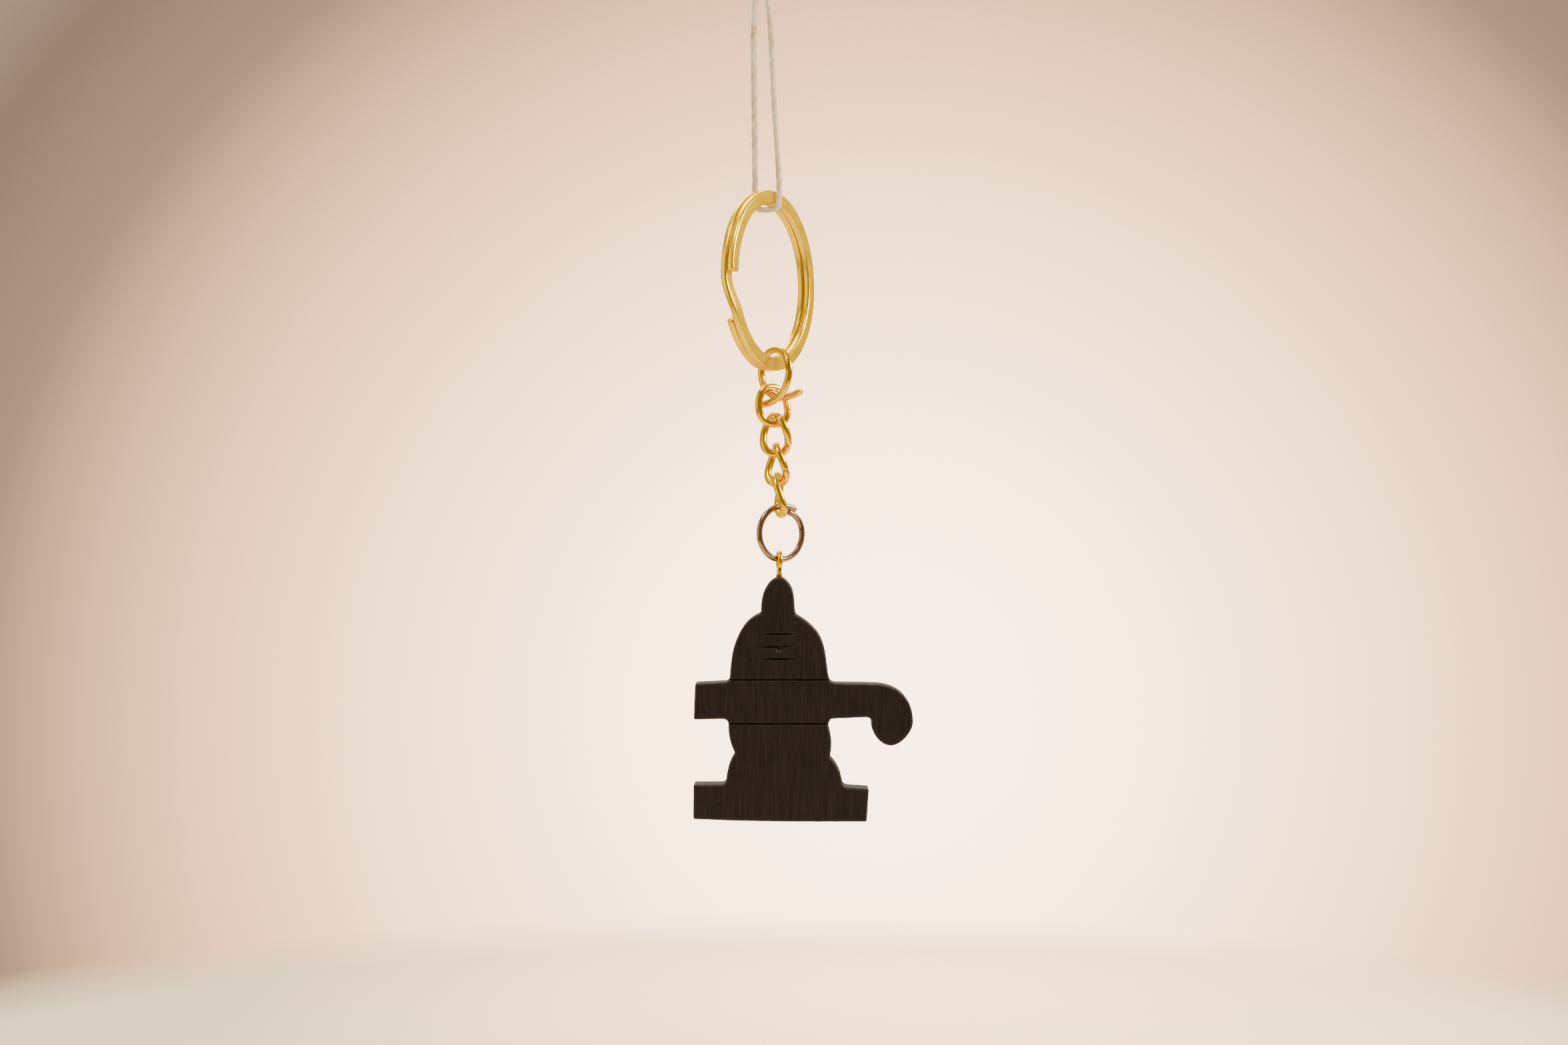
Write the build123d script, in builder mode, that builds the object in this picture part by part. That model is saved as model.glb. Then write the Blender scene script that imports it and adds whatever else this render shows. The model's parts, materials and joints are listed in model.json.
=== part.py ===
from build123d import *
from math import cos, pi, radians, sin, tan
import os

# Keychain: a flat split ring, an open connector ring, four twisted curb links,
# a jump ring and a screw eye that carries a carved flat wooden pendant. A thread
# loop through the split ring holds the whole chain up.
# Millimetres, +Z up, -Y towards the viewer. The origin is the inner top of the
# split ring, where the chain hangs from its thread or its hook.

os.makedirs("parts", exist_ok=True)
UP = Vector(0, 0, 1)


def heading(turn):
    """Horizontal direction to the right, turned towards the viewer by turn degrees."""
    return Vector(cos(radians(turn)), -sin(radians(turn)), 0)


# ---- driving dimensions: split ring ----
ring_outer = 28.0  # outside diameter
band_radial = 2.1  # flat wire, across the ring's radius
band_axial = 1.05  # flat wire, along the ring's axis
layer_gap = 0.06  # slit between the two coils
band_round = 0.33  # rounding of the flat wire's corners
ring_turn = -63.0  # the ring's plane seen from above
first_end = 179.0  # cut end of the front coil, degrees round the ring
second_end = 210.5  # cut end of the back coil
jog_from = 209.0  # the wire crosses from the front coil ...
jog_to = 181.0  # ... to the back coil between these two angles

# ---- driving dimensions: round wires ----
connector_wire = 1.14
connector_radius = 3.65  # to the wire's centre
connector_turn = 49.0
connector_centre = Vector(0.92, 1.7, -26.1)
link_wire = 1.2
link_squareness = 2.3  # 2 is an ellipse, more is squarer
seam_gap = 0.08  # open butt joint of a link's wire
jump_wire = 0.94
jump_radius = 4.12
jump_turn = -36.0
jump_spread = 0.52  # how far each lapped end leaves the circle
eye_wire = 0.8
eye_radius = 1.33
eye_turn = 84.3

# ---- driving dimensions: pendant ----
pendant_thick = 5.0
pendant_high = 38.55
groove_deep = 0.38
groove_wide = 0.42

# ---- driving dimensions: thread ----
thread_wide = 0.95
knot_radius = 1.55


# ---- split ring ----
ring_radius = (ring_outer - band_radial) / 2
ring_centre = Vector(0, 0, -(ring_outer / 2 - band_radial))
ring_side = heading(ring_turn)
ring_axis = ring_side.cross(UP)
layer_lift = (band_axial + layer_gap) / 2


def band_plane(angle, lift):
    """Cross-section plane of the flat wire, at an angle round the split ring."""
    outward = ring_side * cos(radians(angle)) + UP * sin(radians(angle))
    centre = ring_centre + outward * ring_radius + ring_axis * lift
    return Plane(origin=centre, x_dir=outward, z_dir=outward.cross(ring_axis))


def jog_lift(part_way):
    """Smooth crossing from the front coil to the back coil."""
    return layer_lift * cos(pi * part_way)


clockwise = Axis(ring_centre, ring_axis * -1)
jog_steps = 8
with BuildPart() as jog:
    for step in range(jog_steps + 1):
        part_way = step / jog_steps
        angle = jog_from + (jog_to - jog_from) * part_way
        with BuildSketch(band_plane(angle, jog_lift(part_way))):
            RectangleRounded(band_radial, band_axial, band_round)
    loft()
with BuildPart() as split_ring:
    add(jog.part)
    with BuildSketch(band_plane(first_end, layer_lift)):
        RectangleRounded(band_radial, band_axial, band_round)
    revolve(axis=clockwise, revolution_arc=first_end + 360 - jog_from)
    with BuildSketch(band_plane(jog_to, -layer_lift)):
        RectangleRounded(band_radial, band_axial, band_round)
    revolve(axis=clockwise, revolution_arc=jog_to + 360 - second_end)
split_ring.part.label = "split_ring"
export_step(split_ring.part, "parts/split_ring.step")


# ---- round wire along a list of points ----
def bent_wire(points, diameter):
    """Round wire swept along a smooth line through the points."""
    with BuildPart() as wire:
        with BuildLine():
            path = Spline(*points)
        with BuildSketch(Plane(origin=path @ 0, z_dir=path % 0)):
            Circle(diameter / 2)
        sweep(path=path)
    return wire


# ---- connector ring ----
# The ring is sprung open and its two ends cross at the bottom. Each point is
# (along the ring's plane, up, away from the plane), from the ring's centre.
connector_side = heading(connector_turn)
connector_axis = UP.cross(connector_side)
arc_from, arc_to, arc_step = 235, -30, 15
lift_from, lift_to = 0.45, -0.40


def connector_point(along, up, away):
    """Point of the connector ring in the part's frame."""
    return connector_centre + connector_side * along + UP * up + connector_axis * away


free_end = [(4.8, -3.15, 1.1), (2.9, -3.6, 0.95), (1.4, -3.85, 0.8), (-0.2, -3.8, 0.62)]
round_part = []
for angle in range(arc_from, arc_to - 1, -arc_step):
    part_way = (arc_from - angle) / (arc_from - arc_to)
    away = lift_from + (lift_to - lift_from) * part_way
    a = radians(angle)
    round_part.append((connector_radius * cos(a), connector_radius * sin(a), away))
tucked_end = [(1.7, -3.75, -0.52), (0.3, -4.4, -0.62), (-1.2, -4.75, -0.66), (-3.2, -4.95, -0.66)]
connector_line = [connector_point(*p) for p in free_end + round_part + tucked_end]
open_ring = bent_wire(connector_line, connector_wire)
# Cutters pinched the free end off from above and below, which leaves a blunt wedge.
pinch = Plane(origin=connector_point(0, 0, 1.05), x_dir=connector_side, z_dir=connector_side.cross(UP))
with BuildPart() as connector_ring:
    add(open_ring.part)
    with BuildSketch(pinch):
        with BuildLine():
            Polyline((5.0, -3.1), (3.9, -2.55), (6.0, -2.0), (6.0, -4.6), (3.9, -4.1), close=True)
        make_face()
    extrude(amount=1, both=True, mode=Mode.SUBTRACT)
connector_ring.part.label = "connector_ring"
export_step(connector_ring.part, "parts/connector_ring.step")


# ---- chain links ----
def rounded(value):
    """Coordinate of a squared oval: a power that keeps the sign."""
    return abs(value) ** (2 / link_squareness) * (1 if value > 0 else -1)


def link_line(top, bottom, top_turn, bottom_turn, width, seam):
    """Centre line of a twisted curb link, open by seam_gap at its seam."""
    height = top.Z - bottom.Z
    half_gap = 180 * seam_gap / (width + height)
    steps = 36
    line = []
    for step in range(steps + 1):
        a = radians(seam + half_gap + (360 - 2 * half_gap) * step / steps)
        rise = 0.5 + rounded(sin(a)) / 2
        middle = bottom + (top - bottom) * rise
        side = heading(bottom_turn + (top_turn - bottom_turn) * rise)
        line.append(middle + side * (rounded(cos(a)) * width / 2))
    return line


# Top and bottom are where the wire's centre crosses the link's middle. Each link
# sits in the bend of the one above, 1.3 mm lower from centre to centre.
links = {
    "chain_link_1": link_line(Vector(0.35, 2.55, -28.29), Vector(0.8, 2.4, -34.09), -36, -8, 4.8, -14),
    "chain_link_2": link_line(Vector(0.85, 2.4, -32.80), Vector(1.05, 2.4, -38.80), 62, 5, 4.45, -28),
    "chain_link_3": link_line(Vector(1.05, 2.4, -37.52), Vector(1.25, 2.4, -43.52), 90, 30, 4.45, -12),
    "chain_link_4": link_line(Vector(1.25, 2.4, -42.24), Vector(1.9, 1.75, -48.29), 108, 68, 4.45, 172),
}
for name, line in links.items():
    link = bent_wire(line, link_wire)
    link.part.label = name
    export_step(link.part, f"parts/{name}.step")


# ---- jump ring ----
# Its ends lap each other at the upper right: the outer one comes over the top,
# the inner one starts below it.
jump_centre = Vector(1.82, 1.75, -51.25)
jump_side = heading(jump_turn)
outer_end, inner_end = 53.0, 66.0
lap_length = 75.0  # degrees over which an end leaves the circle
wire_turn = 360 + inner_end - outer_end
jump_line = []
jump_steps = 36
for step in range(jump_steps + 1):
    travelled = wire_turn * step / jump_steps
    left = wire_turn - travelled
    angle = radians(inner_end - travelled)
    inward = jump_spread * max(0, 1 - travelled / lap_length) ** 2
    outward = jump_spread * max(0, 1 - left / lap_length) ** 2
    radius = jump_radius - inward + outward
    jump_line.append(jump_centre + jump_side * radius * cos(angle) + UP * radius * sin(angle))
jump_ring = bent_wire(jump_line, jump_wire)
jump_ring.part.label = "jump_ring"
export_step(jump_ring.part, "parts/jump_ring.step")


# ---- pendant ----
pendant_x, pendant_y = 1.56, 1.7
pendant_base = -96.25
pendant_top = pendant_base + pendant_high
front = Plane(origin=(pendant_x, pendant_y, pendant_base), x_dir=(1, 0, 0), z_dir=(0, -1, 0))
half = pendant_thick / 2
shank_long, shank_wide = 6.5, 0.8


def gouge(middle, up, length, deep, wide, slope=0.0):
    """Lens-shaped cut across the front face, as a round-nosed gouge leaves it."""
    reach = ((length / 2) ** 2 + deep**2) / (2 * deep)
    across = Vector(cos(radians(slope)), 0, sin(radians(slope)))
    upward = Vector(-sin(radians(slope)), 0, cos(radians(slope)))
    face = Vector(pendant_x + middle, pendant_y - half, pendant_base + up)
    hub = face + Vector(0, deep - reach, 0)
    blade = wide * reach / deep / 2
    with BuildPart() as cutter:
        with BuildSketch(Plane(origin=hub, x_dir=(0, 1, 0), z_dir=across)):
            with BuildLine():
                Polyline((0, -blade), (reach, 0), (0, blade), close=True)
            make_face()
        revolve(axis=Axis(hub, upward))
    return cutter.part


with BuildPart() as pendant:
    with BuildSketch(front):
        with BuildLine():
            # base block
            ThreePointArc((-13.42, 0.42), (-4.3, 0.1), (4.9, 0.0))
            Line((4.9, 0.0), (13.67, 0.0))
            Line((13.67, 0.0), (14.02, 5.2))
            Line((14.02, 5.2), (10.6, 5.42))
            ThreePointArc((10.6, 5.42), (10.1, 5.65), (9.85, 6.2))
            # two bulges of the right side
            ThreePointArc((9.85, 6.2), (9.3, 8.2), (7.9, 10.1))
            ThreePointArc((7.9, 10.1), (8.17, 12.3), (7.66, 15.1))
            Line((7.66, 15.1), (8.0, 16.05))
            # right arm with its turned-down hook
            Line((8.0, 16.05), (13.6, 16.3))
            ThreePointArc((13.6, 16.3), (14.2, 16.05), (14.42, 15.4))
            Spline((14.42, 15.4), (15.0, 13.35), (17.2, 11.88), (19.75, 13.15), (20.87, 15.8))
            Spline((20.87, 15.8), (20.5, 18.0), (19.3, 19.95), (17.2, 21.15), (14.6, 21.55))
            Line((14.6, 21.55), (8.8, 21.65))
            ThreePointArc((8.8, 21.65), (8.2, 21.8), (7.85, 22.2))
            # dome
            Spline((7.85, 22.2), (7.54, 23.9), (7.2, 26.5), (6.4, 28.95), (4.82, 30.85), (2.62, 32.35))
            # finial, with a small collar round the screw eye
            Spline((2.62, 32.35), (2.42, 34.0), (2.05, 36.35), (1.28, 37.55), (0.6, 38.1))
            Polyline((0.6, 38.1), (0.5, pendant_high), (-0.5, pendant_high), (-0.6, 38.1))
            Spline((-0.6, 38.1), (-1.35, 37.55), (-2.2, 36.35), (-2.78, 34.4), (-2.85, 32.6))
            Spline((-2.85, 32.6), (-5.3, 30.85), (-6.45, 28.95), (-7.28, 26.5), (-7.6, 24.1), (-7.75, 22.3))
            # left arm
            ThreePointArc((-7.75, 22.3), (-8.05, 21.95), (-8.7, 21.82))
            Line((-8.7, 21.82), (-13.12, 21.62))
            Line((-13.12, 21.62), (-13.36, 15.95))
            Line((-13.36, 15.95), (-8.5, 16.02))
            ThreePointArc((-8.5, 16.02), (-8.1, 15.75), (-7.92, 15.2))
            # two bulges of the left side
            ThreePointArc((-7.92, 15.2), (-7.7, 12.8), (-6.86, 10.7))
            ThreePointArc((-6.86, 10.7), (-7.85, 8.8), (-8.26, 6.5))
            ThreePointArc((-8.26, 6.5), (-8.45, 6.05), (-8.9, 5.88))
            Line((-8.9, 5.88), (-13.38, 5.86))
            Line((-13.38, 5.86), (-13.42, 0.42))
        make_face()
    extrude(amount=half, both=True)
    # grooves that part the band from the dome and from the body
    for up, left, right in ((22.15, -7.9, 7.95), (15.3, -8.1, 8.1)):
        groove_start = Plane(
            origin=(pendant_x + left, pendant_y - half, pendant_base + up),
            x_dir=(0, 1, 0),
            z_dir=(1, 0, 0),
        )
        with BuildSketch(groove_start):
            with BuildLine():
                Polyline(
                    (-0.3, -groove_wide * 0.86),
                    (groove_deep, 0),
                    (-0.3, groove_wide * 0.86),
                    close=True,
                )
            make_face()
        extrude(amount=right - left, mode=Mode.SUBTRACT)
    # hole for the screw eye's shank, and the pit in the middle of the dome
    with BuildSketch(Plane.XY.offset(pendant_top)):
        with Locations((pendant_x, pendant_y)):
            Circle(shank_wide / 2)
    extrude(amount=-shank_long, mode=Mode.SUBTRACT)
    with BuildSketch(front.offset(half)):
        with Locations((0.1, 27.0)):
            Circle(0.62)
    extrude(amount=-0.45, taper=35, mode=Mode.SUBTRACT)
    # three strokes across the dome
    add(gouge(0.05, 29.28, 6.1, 0.4, 0.5), mode=Mode.SUBTRACT)
    add(gouge(-0.43, 27.3, 6.8, 0.4, 0.5, 1.6), mode=Mode.SUBTRACT)
    add(gouge(0.03, 25.37, 7.1, 0.4, 0.5), mode=Mode.SUBTRACT)
pendant.part.label = "pendant"
export_step(pendant.part, "parts/pendant.step")


# ---- screw eye ----
eye_top = -54.32  # centre of the wire at the top of the eye
eye_centre = Vector(pendant_x, pendant_y, eye_top - eye_radius)
eye_side = heading(eye_turn)
eye_plane = Plane(origin=eye_centre, x_dir=eye_side, z_dir=eye_side.cross(UP))
thread_crest = 1.02
thread_pitch = 0.7
thread_turns = 7
tip_long = 0.9
shank_foot = pendant_top - shank_long
with BuildPart() as screw_eye:
    with BuildLine(eye_plane):
        loop = CenterArc((0, 0), eye_radius, -82, 344)
    with BuildSketch(Plane(origin=loop @ 0, z_dir=loop % 0)):
        Circle(eye_wire / 2)
    sweep(path=loop)
    with BuildSketch(Plane.XY.offset(shank_foot + tip_long)):
        with Locations((pendant_x, pendant_y)):
            Circle(shank_wide / 2)
    extrude(amount=eye_centre.Z - eye_radius - shank_foot - tip_long)
    with BuildSketch(Plane.XY.offset(shank_foot + tip_long)):
        with Locations((pendant_x, pendant_y)):
            Circle(shank_wide / 2)
    extrude(amount=-tip_long + 0.1, taper=20)
    # the thread, as sharp ridges that bite into the wood
    for turn in range(thread_turns):
        ridge = shank_foot + tip_long + 0.2 + thread_pitch * turn
        with BuildSketch(Plane(origin=(pendant_x, pendant_y, ridge), x_dir=(1, 0, 0), z_dir=(0, -1, 0))):
            with BuildLine():
                Polyline((0.3, -0.16), (thread_crest / 2, 0), (0.3, 0.16), close=True)
            make_face()
        revolve(axis=Axis((pendant_x, pendant_y, 0), (0, 0, 1)))
screw_eye.part.label = "screw_eye"
export_step(screw_eye.part, "parts/screw_eye.step")


# ---- hanging thread: one loop through the split ring, tied above it ----
# From the knot down behind the ring, under its top, and up in front to the knot.
thread_route = [
    Vector(-1.75, -0.60, 35.6),
    Vector(-2.52, -0.62, 30.5),
    Vector(-2.36, -0.60, 16.5),
    Vector(-2.20, -0.66, 3.0),
    Vector(-2.20, -0.67, -0.92),
    Vector(1.50, -0.77, -0.80),
    Vector(1.52, -0.76, 3.2),
    Vector(1.22, -0.75, 9.6),
    Vector(0.78, -0.70, 15.2),
    Vector(0.44, -0.66, 23.4),
    Vector(0.02, -0.62, 30.5),
    Vector(-0.75, -0.60, 35.6),
]
ring_corners = {4: 0.85, 5: 0.85}  # points where the thread goes round the flat wire
thread_radii = []
for i in range(1, len(thread_route) - 1):
    run_in = thread_route[i] - thread_route[i - 1]
    run_out = thread_route[i + 1] - thread_route[i]
    turn = radians(run_in.get_angle(run_out))
    widest = 0.45 * min(run_in.length, run_out.length) / tan(turn / 2)
    thread_radii.append(ring_corners.get(i, widest))
print("thread radii", [round(r, 2) for r in thread_radii])
with BuildPart() as hanging_thread:
    with BuildLine():
        thread_path = FilletPolyline(*thread_route, radius=thread_radii)
    with BuildSketch(Plane(origin=thread_path @ 0, z_dir=thread_path % 0)):
        Circle(thread_wide / 2)
    sweep(path=thread_path)
thread_length = thread_path.length
tube_volume = pi * thread_wide**2 / 4 * thread_length
print("thread length", round(thread_length, 2))
print("thread volume over section times length", round(hanging_thread.part.volume / tube_volume, 4))
hanging_thread.part.label = "hanging_thread"
export_step(hanging_thread.part, "parts/hanging_thread.step")

knot_centre = Vector(-1.25, -0.60, 36.9)
tail_long = 4.5
with BuildPart() as thread_knot:
    with Locations(knot_centre):
        Sphere(knot_radius, rotation=(90, 0, 0))
    for lean in (-12, 14):
        tail = Vector(sin(radians(lean)), 0, cos(radians(lean)))
        with BuildSketch(Plane(origin=knot_centre + Vector(lean * 0.03, 0, 0), z_dir=tail)):
            Circle(thread_wide / 2)
        extrude(amount=knot_radius + tail_long)
thread_knot.part.label = "thread_knot"
export_step(thread_knot.part, "parts/thread_knot.step")
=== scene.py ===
import json
import math
import random

import bmesh
import bpy
import numpy as np
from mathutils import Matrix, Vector, noise
from mathutils.geometry import delaunay_2d_cdt

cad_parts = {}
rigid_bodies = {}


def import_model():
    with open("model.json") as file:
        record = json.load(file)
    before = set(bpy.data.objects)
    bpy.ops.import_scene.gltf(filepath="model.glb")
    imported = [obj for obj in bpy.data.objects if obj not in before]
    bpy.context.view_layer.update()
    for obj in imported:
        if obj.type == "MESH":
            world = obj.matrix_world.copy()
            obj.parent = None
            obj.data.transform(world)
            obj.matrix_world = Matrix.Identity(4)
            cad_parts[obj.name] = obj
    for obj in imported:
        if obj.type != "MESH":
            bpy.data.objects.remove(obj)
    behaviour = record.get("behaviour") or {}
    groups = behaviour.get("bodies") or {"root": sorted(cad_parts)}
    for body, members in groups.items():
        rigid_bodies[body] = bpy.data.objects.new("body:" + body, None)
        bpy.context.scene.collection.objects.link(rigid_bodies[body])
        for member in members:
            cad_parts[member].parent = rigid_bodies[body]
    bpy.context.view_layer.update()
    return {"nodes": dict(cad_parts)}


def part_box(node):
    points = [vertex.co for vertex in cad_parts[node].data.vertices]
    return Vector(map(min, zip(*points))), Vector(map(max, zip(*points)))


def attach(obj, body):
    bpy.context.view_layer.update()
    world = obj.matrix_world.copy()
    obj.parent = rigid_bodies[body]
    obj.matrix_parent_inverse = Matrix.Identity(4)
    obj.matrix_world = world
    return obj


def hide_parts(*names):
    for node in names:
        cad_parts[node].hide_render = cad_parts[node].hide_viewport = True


# Keychain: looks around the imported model. Metres, +Z up, the carved front faces -Y.
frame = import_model()
MM = 0.001
UP = np.array((0.0, 0.0, 1.0))
rng = random.Random(11)


# ---- camera ----
ring_low, ring_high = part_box("split_ring")
pendant_low, pendant_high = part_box("pendant")
camera_away = 340.8 * MM
camera_data = bpy.data.cameras.new("camera")
camera_data.lens = 50
camera_data.sensor_width = 36
camera = bpy.data.objects.new("camera", camera_data)
camera.location = (
    (pendant_low.x + pendant_high.x) / 2 - 2.98 * MM,
    1.0 * MM - camera_away,
    (ring_high.z + pendant_low.z) / 2 - 2.5 * MM,
)
camera.rotation_euler = (math.radians(90), 0, 0)
bpy.context.scene.collection.objects.link(camera)
bpy.context.scene.camera = camera


# ---- thread route: follows the CAD tube, with control points of its own round the ring ----
THREAD = 0.95 * MM
thread_route = [
    (-0.00175, -0.00060, 0.0356),
    (-0.00252, -0.00062, 0.0305),
    (-0.00236, -0.00060, 0.0165),
    (-0.00222, -0.00064, 0.0060),
    (-0.00222, -0.00066, 0.0016),
    (-0.00220, -0.00067, -0.00075),
    (-0.00060, -0.00070, -0.00092),
    (0.00140, -0.00077, -0.00075),
    (0.00160, -0.00077, 0.0014),
    (0.00152, -0.00076, 0.0040),
    (0.00122, -0.00075, 0.0096),
    (0.00078, -0.00070, 0.0152),
    (0.00044, -0.00066, 0.0234),
    (0.00002, -0.00062, 0.0305),
    (-0.00075, -0.00060, 0.0356),
]


def nurbs_line(name, points):
    """Points along a smooth NURBS spline whose control points are given."""
    data = bpy.data.curves.new(name, "CURVE")
    data.dimensions = "3D"
    data.resolution_u = 24
    spline = data.splines.new("NURBS")
    spline.points.add(len(points) - 1)
    for point, place in zip(spline.points, points):
        point.co = (*place, 1)
    spline.order_u = 3
    spline.use_endpoint_u = True
    guide = bpy.data.objects.new(name, data)
    bpy.context.scene.collection.objects.link(guide)
    flat = bpy.data.meshes.new_from_object(guide)
    line = np.array([v.co[:] for v in flat.vertices])
    bpy.data.objects.remove(guide)
    bpy.data.meshes.remove(flat)
    return line


# ---- mesh helpers ----
def make_object(name, verts, faces, material, uv=None):
    """Smooth-shaded mesh object in the row frame. uv holds one pair per vertex."""
    mesh = bpy.data.meshes.new(name)
    mesh.from_pydata([tuple(v) for v in verts], [], faces)
    mesh.update()
    if uv is not None:
        layer = mesh.uv_layers.new(name="UVMap")
        loops = np.zeros(len(mesh.loops), int)
        mesh.loops.foreach_get("vertex_index", loops)
        layer.data.foreach_set("uv", np.asarray(uv, float)[loops].ravel())
    mesh.polygons.foreach_set("use_smooth", [True] * len(mesh.polygons))
    obj = bpy.data.objects.new(name, mesh)
    bpy.context.scene.collection.objects.link(obj)
    obj.data.materials.append(material)
    return obj


def unit(v):
    """Vectors of length one, along the last axis."""
    return v / np.maximum(np.linalg.norm(v, axis=-1, keepdims=True), 1e-12)


def resample(line, step):
    """Evenly spaced points along a dense line."""
    line = np.asarray(line, float)
    far = np.concatenate([[0], np.cumsum(np.linalg.norm(np.diff(line, axis=0), axis=1))])
    count = max(2, int(round(far[-1] / step)) + 1)
    at = np.linspace(0, far[-1], count)
    return np.stack([np.interp(at, far, line[:, k]) for k in range(3)], axis=1)


def smooth_line(points, step):
    """Cubic spline through the points, with free ends, sampled evenly."""
    points = np.asarray(points, float)
    n = len(points)
    t = np.concatenate([[0], np.cumsum(np.linalg.norm(np.diff(points, axis=0), axis=1))])
    h = np.diff(t)
    a = np.zeros((n, n))
    b = np.zeros((n, 3))
    a[0, 0], a[0, 1] = 1, -1
    a[-1, -1], a[-1, -2] = 1, -1
    for i in range(1, n - 1):
        a[i, i - 1], a[i, i], a[i, i + 1] = h[i - 1], 2 * (h[i - 1] + h[i]), h[i]
        b[i] = 6 * ((points[i + 1] - points[i]) / h[i] - (points[i] - points[i - 1]) / h[i - 1])
    m = np.linalg.solve(a, b)
    dense = []
    for i in range(n - 1):
        for s in np.linspace(0, 1, 24, endpoint=i == n - 2):
            x = s * h[i]
            y = h[i] - x
            dense.append(
                m[i] * y**3 / (6 * h[i])
                + m[i + 1] * x**3 / (6 * h[i])
                + (points[i] / h[i] - m[i] * h[i] / 6) * y
                + (points[i + 1] / h[i] - m[i + 1] * h[i] / 6) * x
            )
    return resample(dense, step)


def frames_along(line, start=None):
    """Tangents and two untwisted side directions at each point of a line."""
    tangent = unit(np.gradient(line, axis=0))
    side = np.zeros_like(line)
    first = np.array(start if start is not None else UP if abs(tangent[0][2]) < 0.9 else (1.0, 0, 0))
    side[0] = unit(first - tangent[0] * (first @ tangent[0]))
    for i in range(1, len(line)):
        carried = side[i - 1] - tangent[i] * (side[i - 1] @ tangent[i])
        side[i] = unit(carried)
    return tangent, side, np.cross(tangent, side)


def skin(name, line, section, material, start=None, scale=None):
    """Closed skin along a line. section gives the outline for a row number."""
    tangent, side, other = frames_along(line, start)
    verts, faces, uv = [], [], []
    far = np.concatenate([[0], np.cumsum(np.linalg.norm(np.diff(line, axis=0), axis=1))])
    for i, centre in enumerate(line):
        shape = section(i)
        grow = 1 if scale is None else scale[i]
        for k, (p, q) in enumerate(shape):
            verts.append(centre + (side[i] * p + other[i] * q) * grow)
            uv.append((far[i] / MM, k / len(shape)))
    n = len(shape)
    for i in range(len(line) - 1):
        for k in range(n):
            k2 = (k + 1) % n
            faces.append((i * n + k, i * n + k2, (i + 1) * n + k2, (i + 1) * n + k))
    for row, flip in ((0, True), (len(line) - 1, False)):
        verts.append(line[row])
        uv.append((far[row] / MM, 0.5))
        hub = len(verts) - 1
        for k in range(n):
            k2 = (k + 1) % n
            edge = (row * n + k2, row * n + k) if flip else (row * n + k, row * n + k2)
            faces.append((hub, *edge))
    return make_object(name, verts, faces, material, uv)


def settle(obj, node):
    """Moves a finished mesh so that its box is centred on the CAD node's box."""
    low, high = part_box(node)
    co = np.array([v.co[:] for v in obj.data.vertices])
    shift = (np.array(low) + np.array(high)) / 2 - (co.min(0) + co.max(0)) / 2
    obj.data.vertices.foreach_set("co", (co + shift).ravel())
    obj.data.update()


# ---- material helpers ----
def node_maker(tree):
    """Function that adds a node to a tree, with its settings and its inputs."""
    def node(kind, inputs=None, **settings):
        made = tree.nodes.new(kind)
        for key, value in settings.items():
            setattr(made, key, value)
        for key, value in (inputs or {}).items():
            if isinstance(value, bpy.types.NodeSocket):
                tree.links.new(value, made.inputs[key])
            else:
                made.inputs[key].default_value = value
        return made

    return node


def new_material(name):
    """Material with its Principled shader, a function that adds nodes and one that links them."""
    material = bpy.data.materials.new(name)
    material.use_nodes = True
    tree = material.node_tree
    shader = tree.nodes["Principled BSDF"]
    return material, shader, node_maker(tree), tree.links.new


def ramp(node, value, stops):
    """Colour ramp on a value. stops are (place, colour)."""
    made = node("ShaderNodeValToRGB", {"Fac": value})
    elements = made.color_ramp.elements
    while len(elements) < len(stops):
        elements.new(0.5)
    for element, (place, colour) in zip(elements, stops):
        element.position = place
        element.color = (*colour, 1)
    return made.outputs["Color"]


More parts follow.
